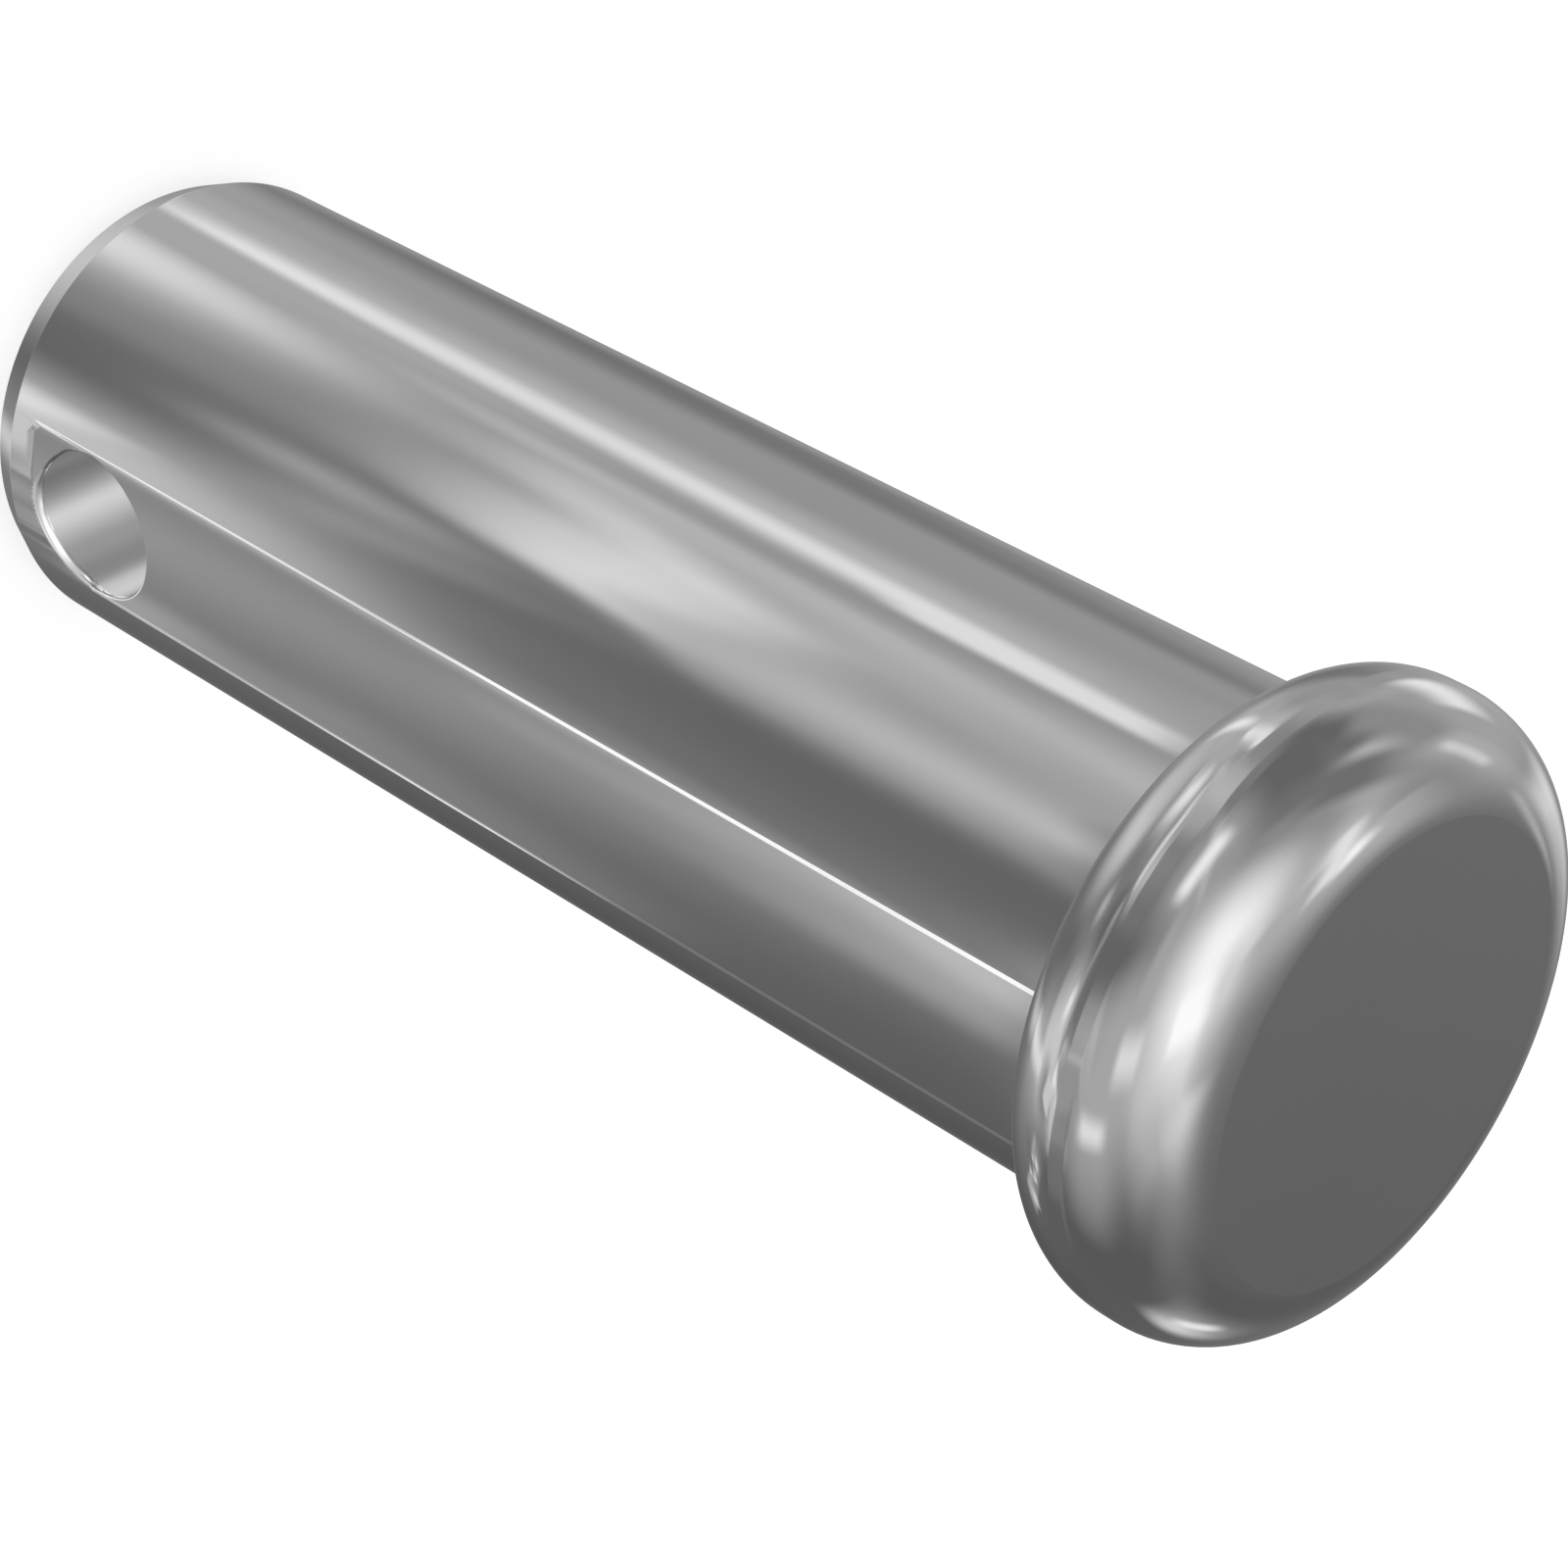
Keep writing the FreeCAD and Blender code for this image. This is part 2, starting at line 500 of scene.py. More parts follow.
def drill_tool(draft):
    """The cross drill, flared at both ends to break the hole's mouths."""
    given = draft.given
    floor, radius, rounding = given("Flat Distance"), given("Hole Radius"), given("Mouth Break")
    first = radians(ROUND_ANGLES[0])

    def ramp(value, low, high):
        return draft.add("ShaderNodeMapRange", {"Value": value, "From Min": low, "From Max": high},
                         interpolation_type="SMOOTHSTEP")

    def softness(sine, cosine):
        """The near mouth's rounding, which is wider beside the tip."""
        wide = ramp(sine, *RIM_RAMP_ACROSS) * ramp(-1 * cosine, *RIM_RAMP_ALONG)
        return rounding + (given("Rim Rounding") - rounding) * wide

    def near_level(x, z, cosine):
        """How far out the near mouth lies: on the flat, its facet or the shank."""
        surface = draft.math("MAXIMUM", surface_depth(draft, x), floor)
        facet = draft.math("MAXIMUM", facet_depth(draft, x, z), floor)
        beside_tip = draft.math(
            "LESS_THAN", radius * cosine, given("Flat Start") - given("Hole Height"))
        return floor + (draft.math("MINIMUM", surface, facet) - floor) * beside_tip

    # A ring's angle runs from the surface, at 0, to the wall, at a right angle
    def near(angle, out=0.0):
        def ring_radius(sine, cosine):
            return radius + softness(sine, cosine) * (1 - sin(angle)) + out / tan(first)

        def ring_depth(x, z, cosine):
            sine = x / draft.math("MAXIMUM", radius, TINY)
            return softness(sine, cosine) * (1 - cos(angle)) - near_level(x, z, cosine) - out

        return ring_radius, ring_depth

    def far(angle, out=0.0):
        def ring_radius(sine, cosine):
            return radius + rounding * (1 - sin(angle)) + out / tan(first)

        def ring_depth(x, z, cosine):
            return surface_depth(draft, x) - rounding * (1 - cos(angle)) + out

        return ring_radius, ring_depth

    def cap(depth):
        return (lambda sine, cosine: 0.0), (lambda x, z, cosine: depth)

    stations = [cap(-1 * (given("Shank Radius") + DRILL_AIR)), near(first, FLARE_AIR)]
    stations += [near(radians(angle)) for angle in ROUND_ANGLES + (90,)]
    stations += [far(radians(angle)) for angle in (90,) + tuple(reversed(ROUND_ANGLES))]
    stations += [far(first, FLARE_AIR), cap(given("Shank Radius") + AIR)]
    return round_tool(draft, given("Hole Height"), stations)


def pin_tree():
    draft = ShapeDraft("clevis_pin_shape", PIN_INPUTS)
    body = turned_blank(draft)
    for tool in (flat_tool(draft), facet_tool(draft), drill_tool(draft)):
        body = draft.cut(body, tool)
    draft.finish(body)
    return draft


def made_plain(name, draft, values):
    """Runs a geometry node tree once and keeps its result as a plain mesh."""
    piece = bpy.data.objects.new(name, bpy.data.meshes.new(name))
    bpy.context.scene.collection.objects.link(piece)
    modifier = piece.modifiers.new("Shape", "NODES")
    modifier.node_group = draft.tree
    for label, value in values.items():
        modifier[draft.identifiers[label]] = value
    bpy.context.view_layer.update()
    result = piece.evaluated_get(bpy.context.evaluated_depsgraph_get())
    mesh = bpy.data.meshes.new_from_object(result)
    piece.modifiers.remove(modifier)
    piece.data = mesh
    mesh.name = name
    return piece


# Exact normals. Here lengths are in millimetres.

# How near to an exact surface a facet's middle or corner lies
NEAR = 0.004
# Looser bounds, for the mouths, the chamfer's corners and the last facet's long edge
NEAR_MOUTH = 0.005
NEAR_CORNER = 0.05
NEAR_LONG_EDGE = 0.3
# How far in and up the tip's facets are looked for
TIP_DEPTH = 0.6
TIP_HEIGHT = 1.0
# How squarely a facet must face the way that its surface does
FLAT_FACING = 0.99999
FACET_FACING = (0.96, 0.98)
SQUARE_FACING = 0.999
SIDE_FACING = 0.1
TIP_FACING = 0.05
OUT_FACING = 0.9
# How far the mouth's rounding is followed, in its radii, and where the mouth leaves the
# flat and the burnish of the broken edges ends, in the hole's radii from its middle
MOUTH_REACH = 1.3
MOUTH_ON_FLAT = -0.22
BURNISH_END = -0.5


def unit(rows):
    return rows / np.maximum(np.linalg.norm(rows, axis=-1, keepdims=True), TINY)


def smooth_ramp(value, low, high):
    along = np.clip((value - low) / (high - low), 0, 1)
    return along * along * (3 - 2 * along)


def read_rows(items, name):
    """A property of three numbers, read from all the items as rows."""
    values = np.empty(len(items) * 3)
    items.foreach_get(name, values)
    return values.reshape(-1, 3)


class SurfaceReader:
    """Knows the exact surfaces that the pin's facets stand for."""

    def __init__(self, mesh, shape):
        self.shape = shape
        self.points = read_rows(mesh.vertices, "co") / MM
        self.centres = read_rows(mesh.polygons, "center") / MM
        self.facing = read_rows(mesh.polygons, "normal")
        totals = np.empty(len(mesh.polygons), dtype=np.int32)
        mesh.polygons.foreach_get("loop_total", totals)
        self.corner_points = np.empty(len(mesh.loops), dtype=np.int32)
        mesh.loops.foreach_get("vertex_index", self.corner_points)
        self.corner_faces = np.repeat(np.arange(len(totals)), totals)

    def upright(self, points, sign):
        return np.zeros_like(points) + (0, 0, sign)

    def outwards(self, points):
        return unit(points * (1, 1, 0))

    def across(self, points, height):
        """Towards an axis that runs along Y at the height."""
        return -unit((points - (0, 0, height)) * (1, 0, 1))

    def rounded(self, points, radius, height):
        out = self.outwards(points)
        return unit(points - out * radius - (0, 0, height))

    def cone(self, points):
        shape = self.shape
        return unit(self.outwards(points) * shape.chamfer_length - (0, 0, shape.chamfer_depth))

    def chamfer_reach(self, low):
        """The chamfer's slope, and how far a soft corner reaches from its sharp point."""
        shape = self.shape
        slant = np.arctan2(shape.chamfer_depth, shape.chamfer_length)
        half = (pi / 2 - slant) / 2 if low else slant / 2
        return slant, shape.corner_softness * tan(half)

    def chamfer_corner(self, points, low):
        """The soft corner at either end of the tip chamfer."""
        shape = self.shape
        cone = self.cone(points)
        slant, reach = self.chamfer_reach(low)
        if low:
            end = self.upright(points, -1)
            start = shape.shank_radius - shape.chamfer_depth - reach
            along = (np.hypot(points[:, 0], points[:, 1]) - start) / (reach * (1 + sin(slant)))
            along = 1 - np.clip(along, 0, 1)[:, None]
        else:
            end = self.outwards(points)
            start = shape.chamfer_length - reach * cos(slant)
            along = (points[:, 2] - start) / (reach * (1 + cos(slant)))
            along = np.clip(along, 0, 1)[:, None]
        return unit(cone * (1 - along) + end * along)

    def kinds(self):
        """Which exact surface each facet belongs to, as a name, and '' for broken edges."""
        shape = self.shape
        x, y, z = self.centres.T
        across, up = self.facing[:, 1], self.facing[:, 2]
        out = np.hypot(x, y)
        slant, low_reach = self.chamfer_reach(low=True)
        slant, high_reach = self.chamfer_reach(low=False)
        bore = np.hypot(x, z - shape.hole_height)
        radial = (self.facing[:, 0] * x + across * y) / np.maximum(out, TINY) > OUT_FACING
        on_tip = (out > shape.shank_radius - TIP_DEPTH) & (z < shape.chamfer_length + TIP_HEIGHT)
        sloping = on_tip & (up < -TIP_FACING)
        facet = (shape.flat_distance + (x + shape.flat_half) * tan(shape.facet_tilt)
                 - (z - shape.facet_corner) * tan(shape.facet_rise))
        tests = [
            ("flat", (np.abs(y + shape.flat_distance) < NEAR) & (across < -FLAT_FACING)),
            ("facet", (np.abs(y + facet) < NEAR) & (across < -FACET_FACING[0])
             & (across > -FACET_FACING[1]) & (z < shape.flat_start)),
            ("top", (z > shape.head_top - NEAR) & (up > SQUARE_FACING)),
            ("tip", (z < NEAR) & (up < -SQUARE_FACING)),
            ("seat", (np.abs(z - shape.seat_height) < NEAR) & (up < -SQUARE_FACING)),
            ("crown", z > shape.crown_height),
            ("land", z > shape.land_height),
            ("under", z > shape.seat_height + NEAR),
            ("bore", (np.abs(bore - shape.hole_radius) < NEAR) & (np.abs(across) < SIDE_FACING)),
            ("low corner", sloping & (z < low_reach * cos(slant))),
            ("cone", sloping & (z < shape.chamfer_length - high_reach * cos(slant))),
            ("high corner", on_tip & (z < shape.chamfer_length + high_reach)
             & (np.abs(out - shape.shank_radius) < NEAR_CORNER) & radial),
            ("shank", (np.abs(out - shape.shank_radius) < NEAR) & radial),
        ]
        names = np.array([name for name, test in tests] + [""])
        picked = np.select([test for name, test in tests], range(len(tests)), len(tests))
        return names[picked]

    def crowned(self, points):
        """The flat's own normal, tipped towards its edges."""
        tip = points[:, 0] / self.shape.flat_half * self.shape.flat_crown
        return np.stack([np.sin(tip), -np.cos(tip), 0 * tip], axis=1)

    def fading(self, points):
        """The last facet, which blends into the shank except along its long edge."""
        shape = self.shape
        rim = np.abs(np.hypot(points[:, 0], points[:, 1]) - shape.shank_radius) < NEAR
        blends = rim & (points[:, 0] > -shape.flat_half + NEAR_LONG_EDGE)
        return np.where(blends[:, None], self.outwards(points), self.crowned(points))

    def exact(self, kind, points):
        shape = self.shape
        way, *sizes = {
            "flat": (self.crowned,),
            "facet": (self.fading,),
            "top": (self.upright, 1),
            "tip": (self.upright, -1),
            "seat": (self.upright, -1),
            "crown": (self.rounded, shape.arc_radius, shape.crown_height),
            "land": (self.outwards,),
            "under": (self.rounded, shape.arc_radius, shape.land_height),
            "shank": (self.outwards,),
            "bore": (self.across, shape.hole_height),
            "cone": (self.cone,),
            "low corner": (self.chamfer_corner, True),
            "high corner": (self.chamfer_corner, False),
        }[kind]
        return way(points, *sizes)

    def edge_normals(self, points, facing):
        """Normals of the broken edges: rounded at the hole's mouths, and plain elsewhere."""
        shape = self.shape
        x, y, z = points.T
        bore = np.hypot(x, z - shape.hole_height)
        reach = np.maximum(bore, TINY)
        wide = (smooth_ramp(x / reach, *RIM_RAMP_ACROSS) * (y < 0)
                * smooth_ramp((shape.hole_height - z) / reach, *RIM_RAMP_ALONG))
        soft = shape.mouth_break + (shape.rim_rounding - shape.mouth_break) * wide
        side = np.clip((shape.hole_radius + soft - bore) / soft, 0, 1)[:, None]
        on_flat = (y < 0) & ((z > shape.flat_start) | (x < MOUTH_ON_FLAT * shape.hole_radius))
        face = np.where(on_flat[:, None], (0.0, -1.0, 0.0), self.outwards(points))
        mouth = self.across(points, shape.hole_height) * side + face * np.sqrt(1 - side ** 2)
        deepest = shape.flat_distance - soft - NEAR_MOUTH
        near_mouth = (bore < shape.hole_radius + MOUTH_REACH * soft) & ((y > 0) | (-y > deepest))
        return unit(np.where(near_mouth[:, None], mouth, facing))


def set_true_normals(mesh, shape):
    """Gives each corner the normal of the exact surface, so that reflections run true."""
    reader = SurfaceReader(mesh, shape)
    kinds = reader.kinds()
    corner_kinds = kinds[reader.corner_faces]
    spots = reader.points[reader.corner_points]
    normals = reader.facing[reader.corner_faces].copy()
    total = np.zeros_like(reader.points)
    touching = np.zeros(len(reader.points))
    for kind in np.unique(kinds[kinds != ""]):
        mine = corner_kinds == kind
        normals[mine] = reader.exact(str(kind), spots[mine])
        once, first = np.unique(reader.corner_points[mine], return_index=True)
        total[once] += normals[mine][first]
        touching[once] += 1
    edge = corner_kinds == ""
    normals[edge] = reader.edge_normals(spots[edge], normals[edge])
    # Where a broken edge meets one surface alone, it takes that surface's normal
    welded = edge & (touching[reader.corner_points] == 1)
    normals[welded] = total[reader.corner_points[welded]]
    mesh.polygons.foreach_set("use_smooth", np.ones(len(mesh.polygons), dtype=bool))
    mesh.normals_split_custom_set([tuple(normal) for normal in unit(normals)])

    # The broken edges get a finer polish and a painted highlight, except beside the last facet
    x, y, z = reader.centres.T
    edge_polish_and_highlight = (kinds == "") & (
        (z > shape.flat_start) | (x > BURNISH_END * shape.hole_radius))
    for name, faces in (("drilled", kinds == "bore"), ("broken", edge_polish_and_highlight)):
        mask = mesh.attributes.new(name, "FLOAT", "FACE")
        mask.data.foreach_set("value", faces.astype(np.float32))


# The steel

# How much the polish wanders, how much finer it is on the edges, and the marks' height
POLISH_CHANGE = 0.04
EDGE_POLISH = 0.02
MARK_HEIGHT = 2e-6
# Noise in the steel: its stretch, its fineness and its detail
CLOUD = ((1, 1, 1), 160.0, 2.0)
STREAK = ((1, 1, 0.02), 2600.0, 2.0)
MOTTLE = ((1, 1, 0.6), 900.0, 3.0)
# The Mix node's sockets for colours
MIX_COLOUR_A, MIX_COLOUR_B, MIX_COLOUR_RESULT = 6, 7, 2


def emptied(owner):
    """The node tree of a new material or world, ready to be drawn."""
    owner.use_nodes = True
    owner.node_tree.nodes.clear()
    return Draft(owner.node_tree)


def new_material(name):
    material = bpy.data.materials.new(name)
    return material, emptied(material)


def polished_steel(finish):
    """Mirror-polished steel with fine lengthwise marks and a slightly wandering polish, with
    painted light on the drilled wall and a painted highlight on the broken edges.
    """
    material, draft = new_material("polished_steel")
    spot = draft.add("ShaderNodeTexCoord", output="Object")

    def noise(stretch, scale, detail):
        shrunk = draft.add("ShaderNodeMapping", {"Vector": spot, "Scale": stretch})
        return draft.add("ShaderNodeTexNoise", {"Vector": shrunk, "Scale": scale, "Detail": detail})

    cloud, streak, mottle = noise(*CLOUD), noise(*STREAK), noise(*MOTTLE)
    edge = draft.add("ShaderNodeAttribute", output="Fac", attribute_name="broken")
    drilled = draft.add("ShaderNodeAttribute", output="Fac", attribute_name="drilled")
    change = (cloud - 0.5) * finish.tone_change * 2 + (streak - 0.5) * finish.tone_change
    # The drilled wall has no polish: it is rougher. Its base colour is also lightened, as painted
    # light inside the bore.
    # The broken edges' base colour is lightened too, as a painted highlight along them
    value = change + drilled * finish.drilled_tone + edge * finish.edge_tone + 1.0
    tone = draft.add("ShaderNodeMix", {
        "Factor": 1.0, MIX_COLOUR_A: (*finish.tone, 1.0),
        MIX_COLOUR_B: draft.vector(value, value, value)},
        output=MIX_COLOUR_RESULT, data_type="RGBA", blend_type="MULTIPLY")
    roughness = (finish.roughness + (mottle - 0.5) * POLISH_CHANGE
                 + drilled * finish.drilled_roughness - edge * EDGE_POLISH)
    bump = draft.add("ShaderNodeBump", {
        "Strength": finish.mark_depth, "Distance": MARK_HEIGHT, "Height": streak + mottle * 0.5})
    shader = draft.add("ShaderNodeBsdfPrincipled", {
        "Base Color": tone, "Metallic": 1.0, "Roughness": roughness, "Normal": bump})
    draft.show(shader)
    return material


# The studio

# The tent's own brightness at some heights, in degrees above the horizon
TENT_LEVELS = (
    (-90, 1.05), (-60, 0.6), (-48, 0.7), (-35, 0.7), (-15, 0.5),
    (10, 0.55), (30, 0.95), (50, 0.8), (65, 1.1), (90, 0.8),
)

# Soft panels on the tent, each laid over those before it: azimuth from -Y towards
# +X, elevation, roll, half width and half height in degrees, the softness of the
# edges across and along, and the brightness
PANELS = (
    (-114, -45.5, -20, 9.5, 9.5, 0.5, 0.2, 1.8),
    (-178.5, -38, 24, 16, 11, 0.6, 1, 0.25),
    (-152, -36.5, 45, 12, 11, 0.7, 0.6, 0.45),
    (-75.5, -41.5, -3, 32.5, 20.5, 0.3, 0.6, 0.3),
    (-75, -39.5, -2, 18.5, 2.6, 0.2, 1, 1.65),
    (-56, -35.5, 88, 3.8, 5.5, 0.2, 1, 0.95),
    (-113, -51.5, 4, 25, 4, 0.3, 0.5, 0.6),
    (-21, -50, 14, 40, 5.5, 1, 0.7, 0.1),
    (-93, -32.5, -74, 7, 12, 0.3, 0.9, 0.65),
    (-31.5, -33, 13, 36, 3.3, 0.6, 0.2, 0.75),
    (-6, -37.5, -1, 26, 6.5, 0.3, 0.2, 0.25),
    (104, -30, 53, 31, 45, 1, 1, 0.1),
    (68.5, -41.5, -7, 12.5, 3.3, 0.2, 0.3, 1.1),
    (23, -81, -32, 40, 11.5, 0.2, 1, 0.2),
    (-75.5, -13, 53, 39, 2.5, 0.2, 1, 0.7),
    (10, -53.5, 12, 15, 12, 0.9, 0.3, 0.9),
    (-82.5, -51, -3, 12, 6, 1, 0.9, 1.5),
    (-50.5, -61, -39, 24, 11.5, 0.7, 0.8, 0.3),
    (-105, 1, -11, 18, 25.5, 0.7, 0.2, 0.2),
    (-31.5, -19, 4, 13.5, 21, 1, 0.2, 0.2),
    (62.5, -3, 29, 37.5, 45, 0.5, 0.8, 0.15),
    (-63, 54.5, -68, 36.5, 45, 0.6, 1, 0.3),
    (6, 1.5, 79, 25, 40.5, 0.8, 1, 0.6),
    (-37.5, 57.5, -79, 27.5, 29, 0.9, 0.8, 1.45),
    (163.5, 38, 12, 40, 17.5, 0.7, 0.9, 0.4),
    (153, 4, 3, 8, 11, 0.7, 0.7, 1.8),
    (-174.5, -16, -5, 7, 11.5, 1, 0.3, 1.15),
    (-19.5, 61, 15, 8, 15.5, 0.6, 0.2, 1.55),
    (22, -6, 3, 4, 12, 1, 0.5, 1.15),
    (-4, 14, 5, 7, 10, 1, 0.4, 1.1),
    (106.5, 13, -20, 9, 18.5, 1, 0.3, 1.8),
    (154, 72.5, 19, 15, 29.5, 0.2, 0.4, 0.65),
    (128, 55.5, 19, 12.5, 21, 0.9, 0.8, 0.35),
    (117.5, 21.5, 54, 27.5, 45, 0.9, 0.9, 0.15),
    (-36.5, 76.5, -32, 7.5, 11.5, 1, 1, 1),
    (21, -36, -2, 13, 5, 0.2, 0.2, 1.2),
    (32, -43, 90, 9, 6, 0.7, 0.7, 0.35),
    (-66, -6, -4, 12, 5.5, 0.4, 1, 1.3),
    (14, -31.5, -45, 5.5, 11.5, 0.3, 1, 0.45),
    (38, -31.5, -11, 4.5, 3.6, 0.5, 1, 0.55),
    (30, -33.5, -68, 2.1, 7.5, 0.7, 0.3, 0.8),
    (28.5, -42, -6, 4.5, 4.5, 0.2, 0.4, 0.9),
    (45.5, -29.5, 3, 16.5, 1.6, 1, 0.4, 0.25),
    (78, -40, 37, 1.6, 2.4, 0.2, 1, 0.9),
    (-174.5, 23, 0, 10, 2.8, 0.3, 1, 0.95),
    (-104.5, -25.5, 6, 23, 4.5, 0.5, 0.2, 0.3),
    (-117, -33.5, -2, 4, 2.1, 0.6, 0.2, 1.15),
    (-3, -49, -11, 4, 2.4, 1, 0.2, 1.2),
    (60, -41, -8, 1.6, 1.6, 0.9, 1, 1.05),
    (174.5, 58.5, 31, 4, 3.5, 1, 1, 1.55),
    (104, 5.5, 12, 5.5, 2.6, 0.6, 0.9, 1.2),
    (67.5, -42, -49, 1.8, 1.6, 1, 0.2, 1.75),
    (-169.5, 62.5, -16, 10, 3.8, 0.3, 1, 1.2),
    (-40.5, -43, -8, 3.6, 1.6, 1, 0.8, 0.5),
    (-119, -48.5, 37, 10.5, 3.9, 0.5, 0.4, 0.6),
    (93, -67.5, 22, 12.5, 1.9, 1, 1, 0.8),
    (52, -64, -36, 11.5, 2.4, 0.2, 1, 1.1),
    (-124, 30, -10, 24, 10.5, 0.8, 0.5, 0.25),
    (-126, -8.5, 18, 13, 20, 1, 0.3, 0.2),
    (-147, 5.5, 39, 11.5, 19.5, 0.8, 0.3, 0.4),
    (-41.5, -63.5, 42, 3.6, 3.5, 1, 1, 0.65),
    (58, -45, -2, 3.8, 1.6, 0.4, 1, 0.55),
    (153, 21.5, 6, 6.5, 2, 0.4, 1, 0.6),
    (68, -44.5, -53, 2.5, 3, 0.4, 0.2, 1.8),
    (-153.5, -55, 25, 10, 1.8, 1, 1, 1.25),
    (68, -46, 1, 2.9, 5, 0.5, 0.7, 0.25),
)


# A panel is left out where it would be seen at less than this share of its own distance
PANEL_HORIZON = 0.08
# The floor's own light, which with the matt light on it makes white
FLOOR_GLOW = 0.62


def direction(azimuth, elevation):
    """The way to a place on the tent, by azimuth from -Y towards +X and elevation."""
    a, e = radians(azimuth), radians(elevation)
    return Vector((cos(e) * sin(a), -cos(e) * cos(a), sin(e)))


def panel_group():
    """A soft-edged panel laid over a brightness, seen from the middle of the tent."""
    group = bpy.data.node_groups.new("soft_panel", "ShaderNodeTree")
    for label, kind in (
            ("Level Behind", "Float"), ("Look", "Vector"), ("Facing", "Vector"),
            ("Across", "Vector"), ("Along", "Vector"), ("Softness Across", "Float"),
            ("Softness Along", "Float"), ("Level", "Float")):
        group.interface.new_socket(label, in_out="INPUT", socket_type="NodeSocket" + kind)
    group.interface.new_socket("Level", in_out="OUTPUT", socket_type="NodeSocketFloat")
    draft = Draft(group)
    given = [Term(draft, socket) for socket in group.nodes.new("NodeGroupInput").outputs]
    behind, look, facing, across, along, soft_across, soft_along, level = given[:-1]

    def dot(one, other):
        return draft.add("ShaderNodeVectorMath", {0: one, 1: other}, output="Value",
                         operation="DOT_PRODUCT")

    depth = dot(look, facing)
    in_front = draft.math("GREATER_THAN", depth, PANEL_HORIZON)
    depth = draft.math("MAXIMUM", depth, PANEL_HORIZON)

    def side(axis, softness):
        place = draft.math("ABSOLUTE", dot(look, axis) / depth)
        return draft.add("ShaderNodeMapRange", {
            "Value": place, "From Min": 1 - softness, "From Max": 1 + softness,
            "To Min": 1.0, "To Max": 0.0}, interpolation_type="SMOOTHSTEP")

    mask = in_front * side(across, soft_across) * side(along, soft_along)
    draft.show(behind + (level - behind) * mask, "NodeGroupOutput")
    return group


def tent_material():
    """The tent's brightness by direction: bands by height, then the panels in order."""
    material, draft = new_material("reflected_tent")
    spot = draft.add("ShaderNodeTexCoord", output="Object")
    look = draft.add("ShaderNodeVectorMath", {0: spot}, operation="NORMALIZE")
    parts = draft.add("ShaderNodeSeparateXYZ", {0: look}, output="Z")
    height = draft.math("ARCSINE", parts) * (180 / pi)
    level = TENT_LEVELS[0][1]
    for (low, dim), (high, bright) in zip(TENT_LEVELS, TENT_LEVELS[1:]):
        step = draft.add("ShaderNodeMapRange", {
            "Value": height, "From Min": float(low), "From Max": float(high),
            "To Min": 0.0, "To Max": bright - dim})
        level = step + level
    group = panel_group()
    for azimuth, elevation, roll, half_width, half_height, soft_u, soft_v, brightness in PANELS:
        facing = direction(azimuth, elevation)
        east = direction(azimuth + 90, 0)
        north = direction(azimuth, elevation + 90)
        turned = radians(roll)
        across = (east * cos(turned) + north * sin(turned)) / tan(radians(half_width))
        along = (north * cos(turned) - east * sin(turned)) / tan(radians(half_height))
        node = draft.tree.nodes.new("ShaderNodeGroup")
        node.node_tree = group
        for slot, value in zip(node.inputs, (level, look, facing, across, along, soft_u, soft_v,
                                             brightness)):
            draft.join(value, slot)
        level = Term(draft, node.outputs[0])
    glow = draft.add("ShaderNodeEmission", {"Color": (1, 1, 1, 1), "Strength": level})
    draft.show(glow)
    material.cycles.emission_sampling = "NONE"
    return material


def background_ray(draft):
    """1 for the rays that should see a white background."""
    paths = draft.tree.nodes.new("ShaderNodeLightPath")
    seen = [Term(draft, paths.outputs[name]) for name in (
        "Is Camera Ray", "Is Glossy Ray", "Is Transmission Ray")]
    return draft.math("MAXIMUM", draft.math("MAXIMUM", seen[0], seen[1]), seen[2])


def floor_material(studio):
    """A pale matt floor that keeps the pin's shadow and shows white round it."""
    material, draft = new_material("pale_floor")
    matt = draft.add("ShaderNodeBsdfDiffuse", {"Color": (*studio.floor_colour, 1.0)})
    glow = draft.add("ShaderNodeEmission", {
        "Color": (1, 1, 1, 1), "Strength": background_ray(draft) * FLOOR_GLOW})
    draft.show(draft.add("ShaderNodeAddShader", {0: matt, 1: glow}))
    return material


def stage_piece(name, points, faces, material):
    """A piece of the studio."""
    mesh = bpy.data.meshes.new(name)
    mesh.from_pydata(points, [], faces)
    piece = bpy.data.objects.new(name, mesh)
    piece.data.materials.append(material)
    bpy.context.scene.collection.objects.link(piece)
    return piece


def disc(radius, corners=96):
    """The points and the one face of a round plate."""
    ring = [(radius * cos(2 * pi * k / corners), radius * sin(2 * pi * k / corners), 0.0)
            for k in range(corners)]
    return ring, [tuple(range(corners))]


def sphere(radius, columns=48, rows=24):
    """The points and faces of a sphere seen from inside."""
    points = [(0, 0, -radius)]
    for j in range(1, rows):
        e = -pi / 2 + pi * j / rows
        points += [(radius * cos(e) * cos(2 * pi * i / columns),
                    radius * cos(e) * sin(2 * pi * i / columns), radius * sin(e))
                   for i in range(columns)]
    points.append((0, 0, radius))
    last = len(points) - 1
    faces = []
    for i in range(columns):
        j = (i + 1) % columns
        faces.append((0, 1 + i, 1 + j))
        for row in range(rows - 2):
            low = 1 + row * columns
            faces.append((low + i, low + columns + i, low + columns + j, low + j))
        low = 1 + (rows - 2) * columns
        faces.append((low + j, low + i, last))
    return points, faces


def camera_matrix(studio):
    """The camera's place and its turn: aimed at a point, then rolled about its own axis."""
    place, aim = Vector(studio.camera_place), Vector(studio.camera_aim)
    ahead = (aim - place).normalized()
    level_up = (Vector((0, 0, 1)) - ahead * ahead.z).normalized()
    level_right = ahead.cross(level_up)
    up = level_up * cos(studio.camera_roll) + level_right * sin(studio.camera_roll)
    right = ahead.cross(up)
    turn = Matrix((right, up, -ahead)).transposed().to_4x4()
    return Matrix.Translation(place) @ turn


# Operators and panel

# Fewer faces than this mean that a cut has failed
FEWEST_FACES = 1000
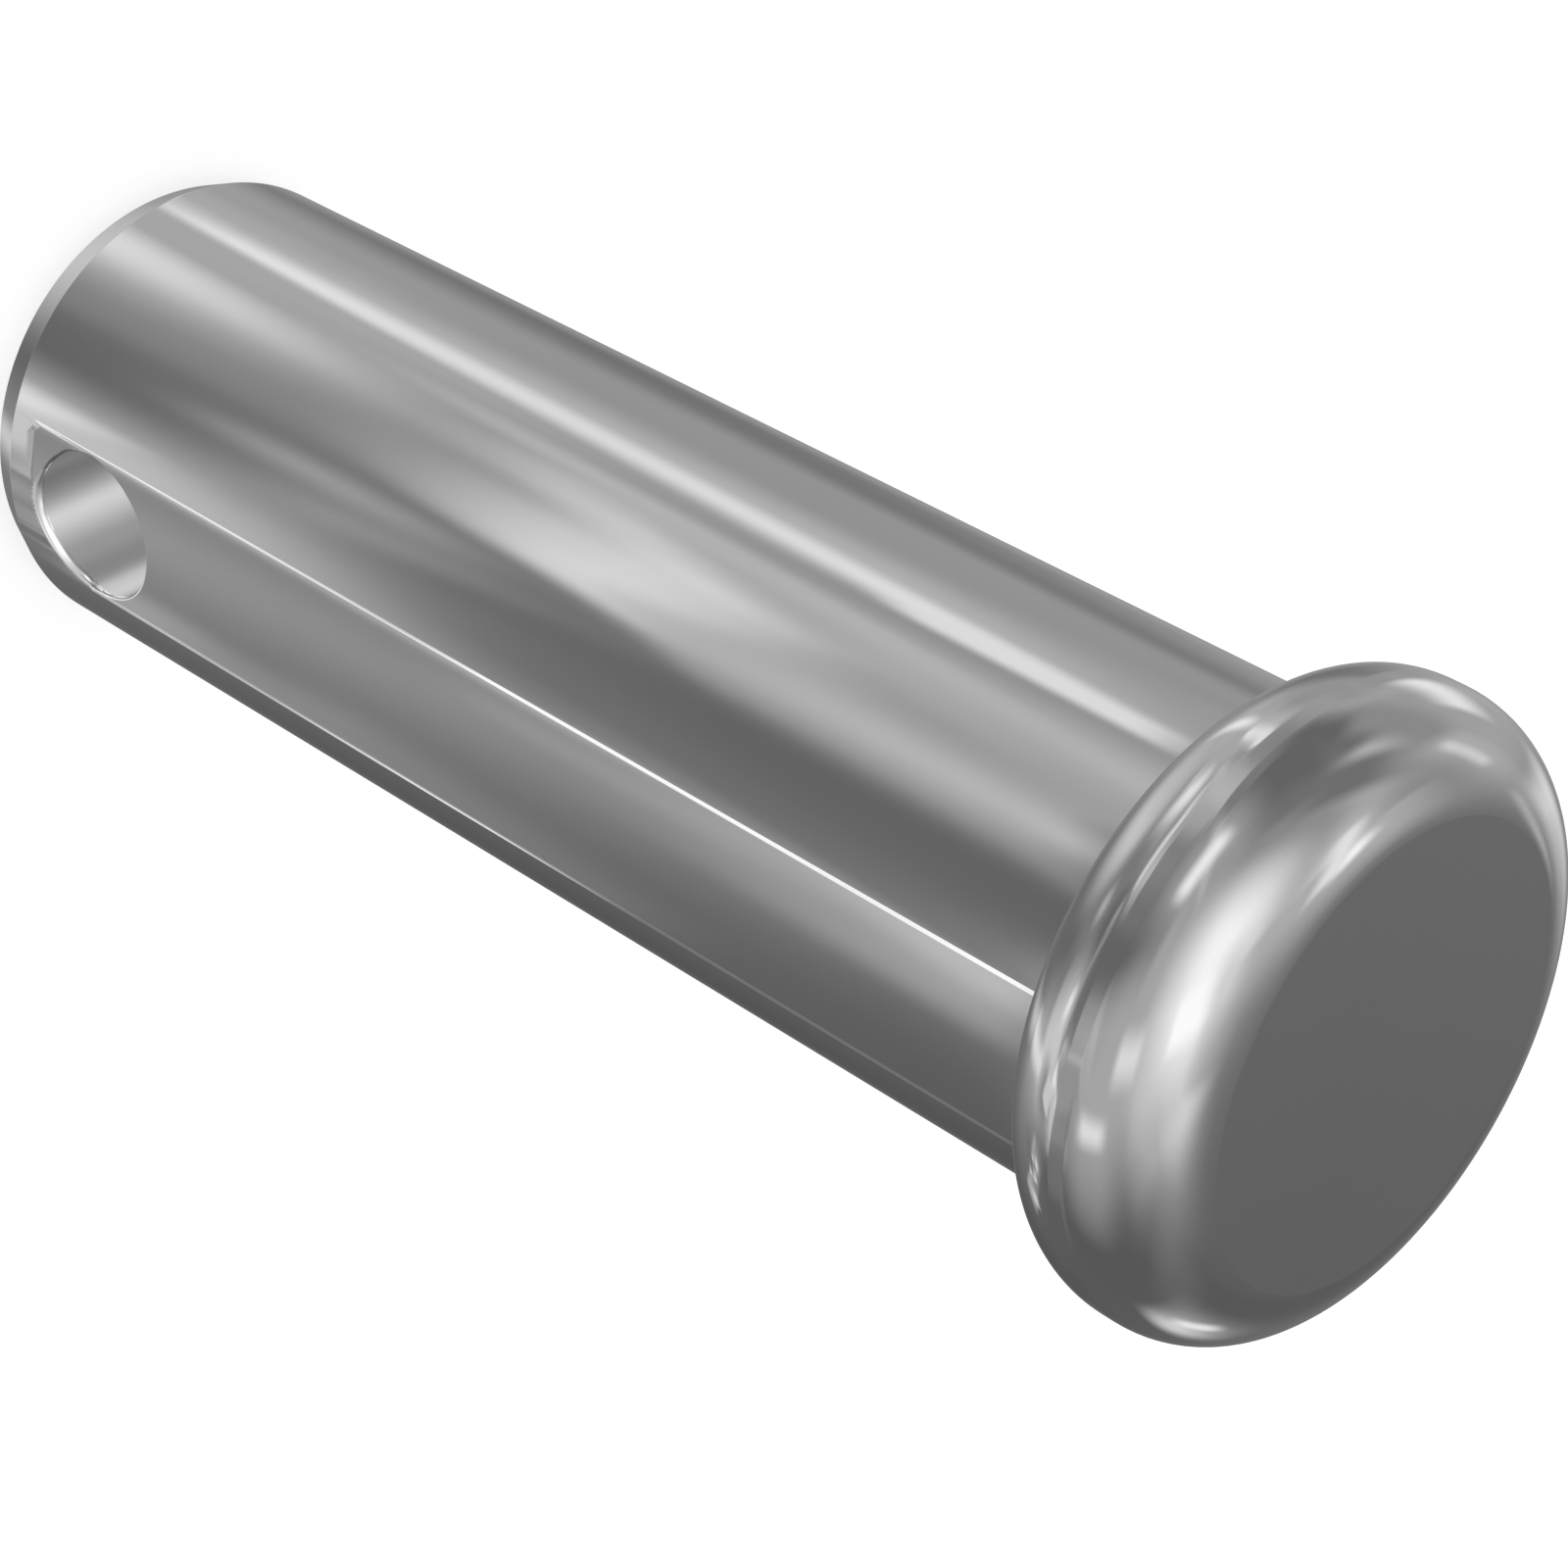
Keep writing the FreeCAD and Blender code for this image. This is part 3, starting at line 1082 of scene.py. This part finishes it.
# The camera's sensor in millimetres, and how near and far it sees in metres
SENSOR = 36.0
NEAREST, FARTHEST = 0.001, 20.0


class CLEVIS_OT_pin(bpy.types.Operator):
    """Turn, mill and drill the clevis pin and give it its polished finish"""
    bl_idname = "clevis.pin"
    bl_label = "Clevis Pin"

    def execute(self, context):
        scene = context.scene
        shape = PinShape(scene.clevis_pin_sizes)
        steel = polished_steel(scene.clevis_pin_steel)
        values = shape.inputs()
        values["Material"] = steel
        pin = made_plain("turned_clevis_pin", pin_tree(), values)
        if len(pin.data.polygons) < FEWEST_FACES:
            raise RuntimeError("the pin's node tree made no solid")
        set_true_normals(pin.data, shape)
        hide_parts("clevis_pin")
        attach(pin, "root")
        # The steel mirrors the studio alone: inside the bore, mirrored mirrors would go black
        pin.visible_glossy = False
        return {"FINISHED"}


class CLEVIS_OT_studio(bpy.types.Operator):
    """Set up the floor, the tent, the lamp and the camera"""
    bl_idname = "clevis.studio"
    bl_label = "Studio"

    def execute(self, context):
        scene = context.scene
        studio = scene.clevis_pin_studio
        scene.view_settings.view_transform = "Standard"

        floor = stage_piece("floor", *disc(studio.floor_radius), floor_material(studio))
        floor.visible_glossy = False
        tent = stage_piece("tent", *sphere(studio.tent_radius), tent_material())
        tent.location = (0, 0, studio.camera_aim[2])
        for ray in ("camera", "diffuse", "transmission", "volume_scatter", "shadow"):
            setattr(tent, "visible_" + ray, False)

        lamp = bpy.data.lights.new("overhead_lamp", "AREA")
        lamp.shape, lamp.size, lamp.energy = "DISK", studio.lamp_width, studio.lamp_power
        overhead = bpy.data.objects.new("overhead_lamp", lamp)
        overhead.location = studio.lamp_place
        overhead.rotation_euler = (-overhead.location).to_track_quat("-Z", "Y").to_euler()
        overhead.visible_glossy = False
        scene.collection.objects.link(overhead)

        world = bpy.data.worlds.new("studio_room")
        draft = emptied(world)
        white = background_ray(draft)
        strength = white + (1 - white) * studio.room_light
        sky = draft.add("ShaderNodeBackground", {"Color": (1, 1, 1, 1), "Strength": strength})
        draft.show(sky, "ShaderNodeOutputWorld")
        scene.world = world

        lens = bpy.data.cameras.new("camera")
        lens.sensor_fit, lens.sensor_width, lens.lens = "HORIZONTAL", SENSOR, studio.camera_lens
        lens.clip_start, lens.clip_end = NEAREST, FARTHEST
        camera = bpy.data.objects.new("camera", lens)
        camera.matrix_world = camera_matrix(studio)
        scene.collection.objects.link(camera)
        scene.camera = camera
        return {"FINISHED"}


class CLEVIS_PT_panel(bpy.types.Panel):
    """Sizes, finish and studio of the clevis pin"""
    bl_label = "Clevis Pin"
    bl_idname = "CLEVIS_PT_panel"
    bl_space_type = "VIEW_3D"
    bl_region_type = "UI"
    bl_category = "Clevis Pin"

    def draw(self, context):
        layout = self.layout
        for group, operator in (
            (context.scene.clevis_pin_sizes, None),
            (context.scene.clevis_pin_steel, CLEVIS_OT_pin.bl_idname),
            (context.scene.clevis_pin_studio, CLEVIS_OT_studio.bl_idname),
        ):
            column = layout.column(align=True)
            for name in type(group).__annotations__:
                column.prop(group, name)
            if operator:
                layout.operator(operator)


GROUPS = (
    ("clevis_pin_sizes", PinSizes),
    ("clevis_pin_steel", SteelFinish),
    ("clevis_pin_studio", StudioSettings),
)
CLASSES = tuple(group for name, group in GROUPS) + (
    CLEVIS_OT_pin, CLEVIS_OT_studio, CLEVIS_PT_panel)


def register():
    for item in CLASSES:
        bpy.utils.register_class(item)
    for name, group in GROUPS:
        setattr(bpy.types.Scene, name, bpy.props.PointerProperty(type=group))


def unregister():
    for name, group in GROUPS:
        delattr(bpy.types.Scene, name)
    for item in reversed(CLASSES):
        bpy.utils.unregister_class(item)


def main():
    register()
    for step in (bpy.ops.clevis.pin, bpy.ops.clevis.studio):
        if step() != {"FINISHED"}:
            raise RuntimeError("a step of the clevis pin did not finish")


if __name__ == "__main__":
    main()
